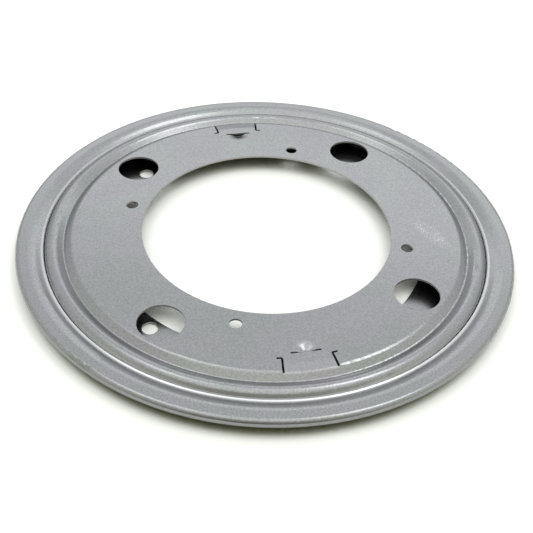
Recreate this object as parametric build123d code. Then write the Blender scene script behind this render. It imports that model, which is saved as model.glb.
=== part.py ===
from build123d import *
import math
import os

# A round stamped-steel turntable bearing. Millimetres, +Z up, the table at z = 0, the axis on Z.
# Radii are worked out from the rim inwards, heights from the table upwards.

# Sheet, balls and overall size
outer_diameter = 228.6
sheet = 1.0
ball_diameter = 5.556
ball_clearance = 0.192
ball_count = 18

# Rolled rim of the base plate, and the lip that it ends in
rim_width = 12.2
rim_below_top = 0.2
roll_gap = 2.3
roll_upright = 0.1
lip_below_top = 1.85
lip_flat = 0.9
lip_slope = 25.0
lip_bend = 0.9
curl_width = 0.7
curl_angle = 20.0
curl_bend = 1.0
shoulder_width = 6.65
shoulder_bend = 8.0

# Wall of the base plate, between its floor and the rim
foot_from_balls = 4.6
hem_width = 2.75
foot_bend = 3.0
hem_bend = 2.0

# Bead, valley and flange of the turntable plate
lip_gap = 0.15
bead_flank = 70.0
valley_depth = 2.4
valley_slope = 33.0
valley_bend = 1.2
flat_bend = 1.6
flange_gap = 0.5
flange_overlap = 3.3
flange_bend = 0.9

# Holes
hole_count = 4
access_diameter = 20.0
access_margin = 1.734
centre_margin = 9.8
top_screw_diameter = 5.56
top_screw_margin = 4.7
top_screw_angle = 22.5
base_screw_diameter = 7.0
base_screw_offset = 0.5
base_screw_angle = 45.0
base_web = 1.5
rest_turn = 4.3

# Ball loading gates, pierced in the turntable plate
gate_count = 2
gate_angle = 45.0
gate_half_angle = 7.1
slit_width = 0.9
slit_length = 6.9
slit_foot = 2.2
pry_slot_length = 12.6
pry_slot_width = 0.8
pry_slot_from_slits = 2.8
dimple_depth = 1.1
dimple_floor = 1.2
dimple_collar = 1.6
dimple_bend = 6.0
tongue_drop = 0.35
tongue_bend = 2.0

# Heights, at the middle of the sheet unless they say otherwise
bead_centre_height = sheet + ball_clearance + ball_diameter / 2
thickness = 2 * bead_centre_height
top_mid = thickness - sheet / 2
rim_mid = top_mid - rim_below_top
hem_mid = rim_mid - sheet - roll_gap
lip_mid = top_mid - lip_below_top
flange_mid = lip_mid - sheet - flange_gap
valley_mid = top_mid - valley_depth
floor_mid = sheet / 2
punch_height = 4 * thickness

# Radii, from the rim inwards
outer_radius = outer_diameter / 2
rim_radius = outer_radius - sheet / 2
lip_radius = outer_radius - rim_width
bead_bend = ball_diameter / 2 + ball_clearance + sheet / 2
ball_circle = lip_radius - lip_gap - bead_bend - sheet / 2
flange_radius = lip_radius + flange_overlap
foot_radius = ball_circle + foot_from_balls
hem_radius = rim_radius - hem_width


def bead_point(tilt):
    """Point on the bead's mid-line where its surface leans outwards by tilt degrees."""
    lean = math.radians(tilt)
    return (ball_circle + bead_bend * math.sin(lean), bead_centre_height + bead_bend * math.cos(lean))


valley_run = 1 / math.tan(math.radians(valley_slope))
bead_inner = bead_point(-valley_slope)
valley_radius = bead_inner[0] - (bead_inner[1] - valley_mid) * valley_run
flat_radius = valley_radius - valley_depth * valley_run
access_circle = flat_radius - access_margin - access_diameter / 2
centre_radius = access_circle - access_diameter / 2 - centre_margin
top_screw_circle = centre_radius + top_screw_margin + top_screw_diameter / 2
base_screw_circle = access_circle + base_screw_offset
base_inner_radius = base_screw_circle - base_screw_diameter / 2 - base_web
access_angle = base_screw_angle + rest_turn
slit_start = flat_radius - slit_length
slit_end = flat_radius + tongue_drop * valley_run
slot_radius = slit_start - pry_slot_from_slits


def sheet_ring(corners, bends):
    """A ring of bent sheet: the mid-line of its section, thickened both ways and turned about Z."""
    section = trace(FilletPolyline(*corners, radius=bends), sheet)
    return revolve(Plane.XZ * section, Axis.Z)


def hole_ring(circle, diameter, start_angle):
    """Round punches on a circle, tall enough for the whole bearing."""
    punch = Cylinder(diameter / 2, punch_height)
    return PolarLocations(circle, hole_count, start_angle=start_angle) * punch


def base_plate():
    """Floor on the table, a wall up to the rolled rim, and a lip that keeps the turntable's flange down."""
    shoulder_radius = rim_radius - shoulder_width
    curl_radius = lip_radius + curl_width
    curl_rise = curl_width * math.tan(math.radians(curl_angle))
    crease_radius = curl_radius + lip_flat
    shoulder_mid = lip_mid + (shoulder_radius - crease_radius) * math.tan(math.radians(lip_slope))
    rim_fall = math.atan2(rim_mid - shoulder_mid, shoulder_width)
    roll_bend = (sheet + roll_gap - roll_upright) / (1 + math.tan(math.pi / 4 + rim_fall / 2))
    corners = [
        (base_inner_radius, floor_mid),
        (foot_radius, floor_mid),
        (hem_radius, hem_mid),
        (rim_radius, hem_mid),
        (rim_radius, rim_mid),
        (shoulder_radius, shoulder_mid),
        (crease_radius, lip_mid),
        (curl_radius, lip_mid),
        (lip_radius, lip_mid + curl_rise),
    ]
    bends = [foot_bend, hem_bend, roll_bend, roll_bend, shoulder_bend, lip_bend, curl_bend]
    plate = sheet_ring(corners, bends)
    return plate - hole_ring(base_screw_circle, base_screw_diameter, base_screw_angle)


def gate_strip(line, width):
    """A section line of the gate on the +X side, thickened to width and turned from slit to slit."""
    strip = revolve(Plane.XZ * trace(line, width), Axis.Z, 2 * gate_half_angle)
    return Rot(0, 0, -gate_half_angle) * strip


def gate_tongue():
    """The stretch of the ring between one gate's slits, and the pressed tongue that takes its place."""
    start = slit_start + slit_width / 2
    hinge = start + (slit_end - start) / 3
    low = (slit_end, top_mid - tongue_drop)
    seam_depth = (tongue_drop + valley_depth) / 2
    seam = (flat_radius + seam_depth * valley_run, top_mid - seam_depth)
    level = FilletPolyline((start, top_mid), (flat_radius, top_mid), seam, radius=flat_bend)
    pressed = FilletPolyline((start, top_mid), (hinge, top_mid), low, seam, radius=[tongue_bend, flat_bend])
    return gate_strip(level, 2 * sheet), gate_strip(pressed, sheet)


def pry_dimple():
    """The half disc behind one gate's pry slot, and the pressed hollow that takes its place."""
    rim = pry_slot_length / 2
    low = top_mid - dimple_depth
    level = Line((0, top_mid), (rim, top_mid))
    pressed = FilletPolyline(
        (0, low),
        (dimple_floor, low),
        (rim - dimple_collar, top_mid),
        (rim, top_mid),
        radius=[2 * dimple_floor, dimple_bend],
    )
    place = Pos(slot_radius - pry_slot_width / 2, 0, 0) * Rot(0, 0, 90)
    return [
        place * revolve(Plane.XZ * trace(level, 2 * sheet), Axis.Z, 180),
        place * revolve(Plane.XZ * trace(pressed, sheet), Axis.Z, 180),
    ]


def gate_cuts():
    """Cuts of one gate, on the +X side: two slits with feet, and the pry slot between them."""
    cuts = [Pos(slot_radius, 0, 0) * Box(pry_slot_width, pry_slot_length, punch_height)]
    reach = slit_end - slit_start
    for side in (1, -1):
        slit = Pos(slit_start + reach / 2, 0, 0) * Box(reach, slit_width, punch_height)
        foot = Pos(slit_start, side * slit_foot / 2, 0) * Box(slit_width, slit_foot, punch_height)
        cuts.append(Rot(0, 0, side * gate_half_angle) * (slit + foot))
    return cuts


def turntable_plate():
    """Flat ring with holes, a valley, the bead over the balls, and a flange trapped under the lip."""
    half_turn = math.radians((valley_slope + bead_flank) / 2)
    middle = math.radians((bead_flank - valley_slope) / 2)
    peak = bead_bend / math.cos(half_turn)
    bead_corner = (ball_circle + peak * math.sin(middle), bead_centre_height + peak * math.cos(middle))
    bead_outer = bead_point(bead_flank)
    flank_run = 1 / math.tan(math.radians(bead_flank))
    flank_foot = bead_outer[0] + (bead_outer[1] - flange_mid) * flank_run
    corners = [
        (centre_radius, top_mid),
        (flat_radius, top_mid),
        (valley_radius, valley_mid),
        bead_corner,
        (flank_foot, flange_mid),
        (flange_radius, flange_mid),
    ]
    plate = sheet_ring(corners, [flat_bend, valley_bend, bead_bend, flange_bend])
    plate -= hole_ring(access_circle, access_diameter, access_angle)
    plate -= hole_ring(top_screw_circle, top_screw_diameter, access_angle + top_screw_angle)
    for place in PolarLocations(0, gate_count, start_angle=access_angle + gate_angle):
        for window, pressed in (gate_tongue(), pry_dimple()):
            plate = plate - place * window + place * pressed
        plate -= [place * cut for cut in gate_cuts()]
    return plate


def balls():
    """The loose balls of the race, spread evenly round it on the bead's own circle."""
    race = PolarLocations(ball_circle, ball_count)
    return [Pos(0, 0, bead_centre_height) * place * Sphere(ball_diameter / 2) for place in race]


os.makedirs("parts", exist_ok=True)
export_step(base_plate(), "parts/base_plate.step")
export_step(turntable_plate(), "parts/turntable_plate.step")
for number, ball in enumerate(balls(), start=1):
    export_step(ball, f"parts/ball_{number}.step")
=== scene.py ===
import math

import bpy
from mathutils import Matrix, Vector


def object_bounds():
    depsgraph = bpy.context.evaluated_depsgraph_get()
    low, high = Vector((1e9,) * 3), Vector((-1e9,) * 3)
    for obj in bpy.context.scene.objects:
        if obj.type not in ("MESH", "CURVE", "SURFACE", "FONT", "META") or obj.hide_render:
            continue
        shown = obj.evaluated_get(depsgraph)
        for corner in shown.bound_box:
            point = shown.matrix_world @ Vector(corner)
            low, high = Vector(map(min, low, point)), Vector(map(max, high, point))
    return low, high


# A round turntable bearing of zinc-plated sheet, lying on a white table. Metres, +Z up, axis on Z.
# A direction in the studio is an azimuth, from the picture's right round to its back, and an
# elevation, both in degrees.

# Camera, fitted to the holes and edges of the photograph
photo_side = 533
camera_place = (-0.0466, -0.2996, 0.2507)
camera_turn = math.radians(-9.0)
camera_down = math.radians(41.47)
camera_roll = math.radians(3.17)
sensor_width = 36.0
focal_pixels = 830.8
nearest_view = 0.01

# Table, and the olive shade painted on it where the bearing hides the bright side of the room from it
table_reach = 8.0
table_gap = 0.0001
table_thickness = 0.05
table_tint = (0.97, 0.97, 0.96, 1.0)
table_shade = (0.11, 0.115, 0.03, 1.0)
table_roughness = 0.8
shade_side = (90, 45)
shade_reach = 0.03
shade_span = (0.18, 0.35)
shade_rays = 16

# Studio lights: azimuth, elevation, width and height as seen from the bearing, then brightness
light_distance = 3.0
studio_lights = {
    "right_key": (38, 68, 21, 14, 3.2),
    "left_key": (144, 68, 20, 14, 1.3),
    "back_band": (85, 35, 66, 12, 0.65),
}

# Room: brightness low and high on each wall by its azimuth, and overhead, with the elevations
# between which one fades into the next, and the tints of its bright and dark sides
wall_light = {0: (1.1, 1.24), 90: (0.74, 1.2), 180: (1.05, 1.1), 270: (0.20, 0.62)}
wall_fade = (18, 30)
top_light = 1.7
top_fade = (48, 76)
cool = (0.975, 1.0, 1.0, 1.0)
warm = (1.0, 1.015, 0.86, 1.0)
cool_side = (90, 30)
cool_span = (-0.6, 0.8)
backdrop = (1.0, 1.0, 1.0, 1.0)
backdrop_light = 1.0

# Zinc-plated sheet: clouds of two tints, grain, rolling lines and slight waves
zinc_green = (0.264, 0.273, 0.273, 1.0)
zinc_violet = (0.276, 0.270, 0.286, 1.0)
zinc_roughness = (0.21, 0.26)
noise_span = (0.3, 0.7)
cloud_scale = 42.0
cloud_span = (0.38, 0.62)
grain_scale = 1300.0
grain_light = (0.86, 1.14)
grain_height = 0.00001
rolling_turn = 0.3
rolling_scale = (25.0, 1600.0, 25.0)
rolling_roughness = (-0.015, 0.015)
wave_scale = 55.0
wave_height = 0.00008

# Punched edges of the sheet
bare_edge = (0.40, 0.39, 0.38, 1.0)
edge_slant = 0.02
edge_inward = -0.9
edge_roughness = 0.5
edge_radius = 0.0003
edge_rays = 4

# Ring painted light where the lip meets the bead, to lift the shade in the gap between them, measured
# inwards from the rim
painted_gap_light = (0.58, 0.58, 0.59, 1.0)
gap_light_inset = 0.0122
gap_light_reach = (0.0006, 0.0013)
gap_light_height = 0.005

# Patch of scuffs on top of the turntable
scuff_white = (0.64, 0.64, 0.63, 1.0)
scuff_place = (0.0755, -0.0099)
scuff_turn = math.radians(-62.0)
scuff_reach = (0.015, 0.005, 0.004)
scuff_fade = (0.0, 0.4)
scuff_roughness = 0.25
fleck_scale = 2300.0
fleck_span = (0.57, 0.67)
fleck_share = (0.0, 0.85)

# Polished steel of the balls
ball_bright = (0.72, 0.73, 0.75, 1.0)
ball_dull = (0.60, 0.61, 0.62, 1.0)
ball_roughness = (0.07, 0.16)
film_scale = 420.0
film_span = (0.35, 0.65)
scratch_scale = 5200.0
scratch_height = 0.000002

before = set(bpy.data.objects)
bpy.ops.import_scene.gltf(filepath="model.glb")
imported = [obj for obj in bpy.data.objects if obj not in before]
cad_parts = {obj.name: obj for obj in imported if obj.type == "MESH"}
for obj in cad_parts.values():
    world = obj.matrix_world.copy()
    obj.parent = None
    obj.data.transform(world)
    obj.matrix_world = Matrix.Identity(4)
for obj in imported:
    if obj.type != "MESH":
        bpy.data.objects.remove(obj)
cad_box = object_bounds()
bottom = cad_box[0].z
top = cad_box[1].z
outer_radius = cad_box[1].x


def add(tree, kind, inputs=(), **settings):
    """One shader node. Each input is a value, or the socket that feeds it."""
    node = tree.nodes.new("ShaderNode" + kind)
    for name, value in settings.items():
        setattr(node, name, value)
    for name, value in dict(inputs).items():
        if isinstance(value, bpy.types.NodeSocket):
            tree.links.new(value, node.inputs[name])
        else:
            node.inputs[name].default_value = value
    return node


def noise(tree, place, scale, detail=3.0):
    """A cloudy pattern between 0 and 1. Detail is the number of finer layers in it."""
    texture = add(tree, "TexNoise", {"Vector": place, "Scale": scale, "Detail": detail})
    return texture.outputs["Fac"]


def remap(tree, value, span, to=(0.0, 1.0), shape="LINEAR"):
    """Spreads one span of values over another, and holds the ends."""
    limits = {"From Min": span[0], "From Max": span[1], "To Min": to[0], "To Max": to[1]}
    node = add(tree, "MapRange", {"Value": value, **limits}, interpolation_type=shape)
    return node.outputs["Result"]


def fade(tree, height, elevations, levels):
    """Fades between two levels over two elevations, where height is the sine of the elevation."""
    span = [math.sin(math.radians(elevation)) for elevation in elevations]
    return remap(tree, height, span, levels, "SMOOTHSTEP")


def math_node(tree, operation, *values):
    return add(tree, "Math", enumerate(values), operation=operation).outputs["Value"]


def vector_node(tree, operation, *values):
    node = add(tree, "VectorMath", enumerate(values), operation=operation)
    return node.outputs["Value" if operation in ("LENGTH", "DOT_PRODUCT") else "Vector"]


def up_part(tree, vector):
    return add(tree, "SeparateXYZ", {"Vector": vector}).outputs["Z"]


def level_part(tree, vector):
    return vector_node(tree, "MULTIPLY", vector, (1.0, 1.0, 0.0))


def blend_colours(tree, share, first, second):
    mix = add(tree, "Mix", {"Factor": share}, data_type="RGBA")
    for socket, value in (("A_Color", first), ("B_Color", second)):
        target = next(entry for entry in mix.inputs if entry.identifier == socket)
        if isinstance(value, bpy.types.NodeSocket):
            tree.links.new(value, target)
        else:
            target.default_value = value
    return next(entry for entry in mix.outputs if entry.identifier == "Result_Color")


def blend_numbers(tree, share, first, second):
    return add(tree, "Mix", {0: share, 2: first, 3: second}).outputs[0]


def new_material(name, metallic):
    material = bpy.data.materials.new(name)
    material.use_nodes = True
    tree = material.node_tree
    shader = tree.nodes["Principled BSDF"]
    shader.inputs["Metallic"].default_value = metallic
    return material, tree, shader


def edge_mask(tree, place):
    """One on the punched edges, which stand upright or face the axis."""
    normal = add(tree, "NewGeometry").outputs["Normal"]
    slant = math_node(tree, "ABSOLUTE", up_part(tree, normal))
    upright = math_node(tree, "LESS_THAN", slant, edge_slant)
    outward = vector_node(tree, "NORMALIZE", level_part(tree, place))
    facing = vector_node(tree, "DOT_PRODUCT", normal, outward)
    inward = math_node(tree, "LESS_THAN", facing, edge_inward)
    return math_node(tree, "MAXIMUM", upright, inward)


def painted_gap_light_mask(tree, place):
    """One on the ring painted light over the shaded gap where the lip meets the bead, fading on both
    sides of it, on the top side only.
    """
    radius = vector_node(tree, "LENGTH", level_part(tree, place))
    offset = math_node(tree, "SUBTRACT", radius, outer_radius - gap_light_inset)
    distance = math_node(tree, "ABSOLUTE", offset)
    on_top = math_node(tree, "GREATER_THAN", up_part(tree, place), gap_light_height)
    return math_node(tree, "MULTIPLY", remap(tree, distance, gap_light_reach, (1.0, 0.0)), on_top)


def scuff_mask(tree, place):
    """Flecks that thin out from the middle of the scuffed patch."""
    spot = {"Location": (*scuff_place, top), "Rotation": (0.0, 0.0, scuff_turn), "Scale": scuff_reach}
    patch = add(tree, "Mapping", {"Vector": place, **spot}, vector_type="TEXTURE").outputs["Vector"]
    middle = add(tree, "TexGradient", {"Vector": patch}, gradient_type="SPHERICAL").outputs["Fac"]
    flecks = remap(tree, noise(tree, place, fleck_scale, detail=1.0), fleck_span, fleck_share)
    return math_node(tree, "MULTIPLY", remap(tree, middle, scuff_fade), flecks)


def zinc_plate():
    """Zinc-plated sheet with pale punched edges, a ring painted light over the shaded gap at the
    bead, and a patch of scuffs.
    """
    material, tree, shader = new_material("zinc_plate", metallic=1.0)
    place = add(tree, "TexCoord").outputs["Object"]
    clouds = noise(tree, place, cloud_scale)
    grain = noise(tree, place, grain_scale)
    edge = edge_mask(tree, place)
    scuff = scuff_mask(tree, place)

    tint = blend_colours(tree, remap(tree, clouds, cloud_span), zinc_green, zinc_violet)
    speckle = remap(tree, grain, noise_span, grain_light)
    tint = add(tree, "HueSaturation", {"Color": tint, "Value": speckle}).outputs["Color"]
    tint = blend_colours(tree, edge, tint, bare_edge)
    # Painted light: a pale ring over the shaded gap where the lip meets the bead
    tint = blend_colours(tree, painted_gap_light_mask(tree, place), tint, painted_gap_light)
    tint = blend_colours(tree, scuff, tint, scuff_white)
    tree.links.new(tint, shader.inputs["Base Color"])

    drawn_out = {"Rotation": (0.0, 0.0, rolling_turn), "Scale": rolling_scale}
    along = add(tree, "Mapping", {"Vector": place, **drawn_out}).outputs["Vector"]
    rolling = noise(tree, along, scale=1.0)
    rough = remap(tree, clouds, noise_span, zinc_roughness)
    rough = math_node(tree, "ADD", rough, remap(tree, rolling, noise_span, rolling_roughness))
    rough = math_node(tree, "MULTIPLY_ADD", scuff, scuff_roughness, rough)
    rough = blend_numbers(tree, edge, rough, edge_roughness)
    tree.links.new(rough, shader.inputs["Roughness"])

    normal = add(tree, "Bevel", {"Radius": edge_radius}, samples=edge_rays).outputs["Normal"]
    waves = noise(tree, place, wave_scale, detail=1.0)
    for height, distance in ((waves, wave_height), (grain, grain_height)):
        bump = add(tree, "Bump", {"Height": height, "Distance": distance, "Normal": normal})
        normal = bump.outputs["Normal"]
    tree.links.new(normal, shader.inputs["Normal"])
    return material


def ball_steel():
    """Polished steel with a film of grease that dulls it in patches."""
    material, tree, shader = new_material("polished_ball", metallic=1.0)
    place = add(tree, "TexCoord").outputs["Object"]
    film = remap(tree, noise(tree, place, film_scale), film_span)
    tree.links.new(blend_colours(tree, film, ball_bright, ball_dull), shader.inputs["Base Color"])
    tree.links.new(remap(tree, film, (0.0, 1.0), ball_roughness), shader.inputs["Roughness"])
    scratches = noise(tree, place, scratch_scale, detail=2.0)
    bump = add(tree, "Bump", {"Height": scratches, "Distance": scratch_height})
    tree.links.new(bump.outputs["Normal"], shader.inputs["Normal"])
    return material


def towards(azimuth, elevation):
    """Direction from the bearing into the studio."""
    around = math.radians(azimuth) + camera_turn
    up = math.radians(elevation)
    return Vector((math.cos(up) * math.cos(around), math.cos(up) * math.sin(around), math.sin(up)))


def table_top():
    """A wide white table under the bearing, with shade painted on it where the bearing hides the
    bright side of the room.
    """
    mesh = bpy.data.meshes.new("table_top")
    quarters = ((-1, -1), (1, -1), (1, 1), (-1, 1))
    corners = [(x * table_reach, y * table_reach, bottom - table_gap) for x, y in quarters]
    mesh.from_pydata(corners, [], [(0, 1, 2, 3)])
    table = bpy.data.objects.new("table_top", mesh)
    bpy.context.scene.collection.objects.link(table)
    table.modifiers.new("slab", "SOLIDIFY").thickness = table_thickness

    material, tree, shader = new_material("white_table", metallic=0.0)
    side = add(tree, "CombineXYZ", enumerate(towards(*shade_side))).outputs["Vector"]
    reach = {"Distance": shade_reach, "Normal": side}
    # Painted shadow: the table's colour darkens to olive where the bearing hides the bright side of
    # the room
    in_view = add(tree, "AmbientOcclusion", reach, samples=shade_rays).outputs["AO"]
    tint = blend_colours(tree, remap(tree, in_view, shade_span), table_shade, table_tint)
    tree.links.new(tint, shader.inputs["Base Color"])
    shader.inputs["Roughness"].default_value = table_roughness
    mesh.materials.append(material)


def studio_light(name, azimuth, elevation, width, height, brightness):
    """A soft oval light on the studio's dome, facing the bearing."""
    lamp = bpy.data.lights.new(name, "AREA")
    lamp.shape = "ELLIPSE"
    lamp.size = 2 * light_distance * math.tan(math.radians(width) / 2)
    lamp.size_y = 2 * light_distance * math.tan(math.radians(height) / 2)
    lamp.color = cool[:3]
    area = math.pi * lamp.size * lamp.size_y / 4
    lamp.energy = brightness * math.pi * area
    light = bpy.data.objects.new(name, lamp)
    direction = towards(azimuth, elevation)
    light.location = direction * light_distance
    light.rotation_mode = "QUATERNION"
    light.rotation_quaternion = direction.to_track_quat("Z", "Y")
    bpy.context.scene.collection.objects.link(light)


def room():
    """Soft light from four walls that fade into each other and the ceiling, and a plain backdrop."""
    world = bpy.data.worlds.new("room")
    world.use_nodes = True
    tree = world.node_tree
    outward = add(tree, "TexCoord").outputs["Generated"]
    height = up_part(tree, outward)
    level = vector_node(tree, "NORMALIZE", level_part(tree, outward))

    strength = 0.0
    for azimuth, levels in wall_light.items():
        facing = vector_node(tree, "DOT_PRODUCT", level, towards(azimuth, 0))
        share = math_node(tree, "MAXIMUM", facing, 0.0)
        share = math_node(tree, "MULTIPLY", share, share)
        wall = fade(tree, height, wall_fade, levels)
        strength = math_node(tree, "MULTIPLY_ADD", share, wall, strength)
    overhead = fade(tree, height, top_fade, (0.0, 1.0))
    strength = blend_numbers(tree, overhead, strength, top_light)

    facing = vector_node(tree, "DOT_PRODUCT", outward, towards(*cool_side))
    tint = blend_colours(tree, remap(tree, facing, cool_span), warm, cool)

    seen = add(tree, "LightPath").outputs["Is Camera Ray"]
    tint = blend_colours(tree, seen, tint, backdrop)
    strength = blend_numbers(tree, seen, strength, backdrop_light)
    background = tree.nodes["Background"]
    tree.links.new(tint, background.inputs["Color"])
    tree.links.new(strength, background.inputs["Strength"])
    bpy.context.scene.world = world


def camera():
    """The photograph's camera."""
    lens = bpy.data.cameras.new("camera")
    lens.sensor_width = sensor_width
    lens.lens = focal_pixels / photo_side * sensor_width
    lens.clip_start = nearest_view
    eye = bpy.data.objects.new("camera", lens)
    turn = Matrix.Rotation(camera_turn, 4, "Z")
    tilt = Matrix.Rotation(math.pi / 2 - camera_down, 4, "X")
    roll = Matrix.Rotation(camera_roll, 4, "Z")
    eye.matrix_world = Matrix.Translation(camera_place) @ turn @ tilt @ roll
    bpy.context.scene.collection.objects.link(eye)
    bpy.context.scene.camera = eye


zinc = zinc_plate()
steel = ball_steel()
for name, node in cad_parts.items():
    node.data.materials.clear()
    node.data.materials.append(steel if name.startswith("ball_") else zinc)

table_top()
room()
for name, light in studio_lights.items():
    studio_light(name, *light)
camera()
bpy.context.scene.view_settings.view_transform = "Standard"
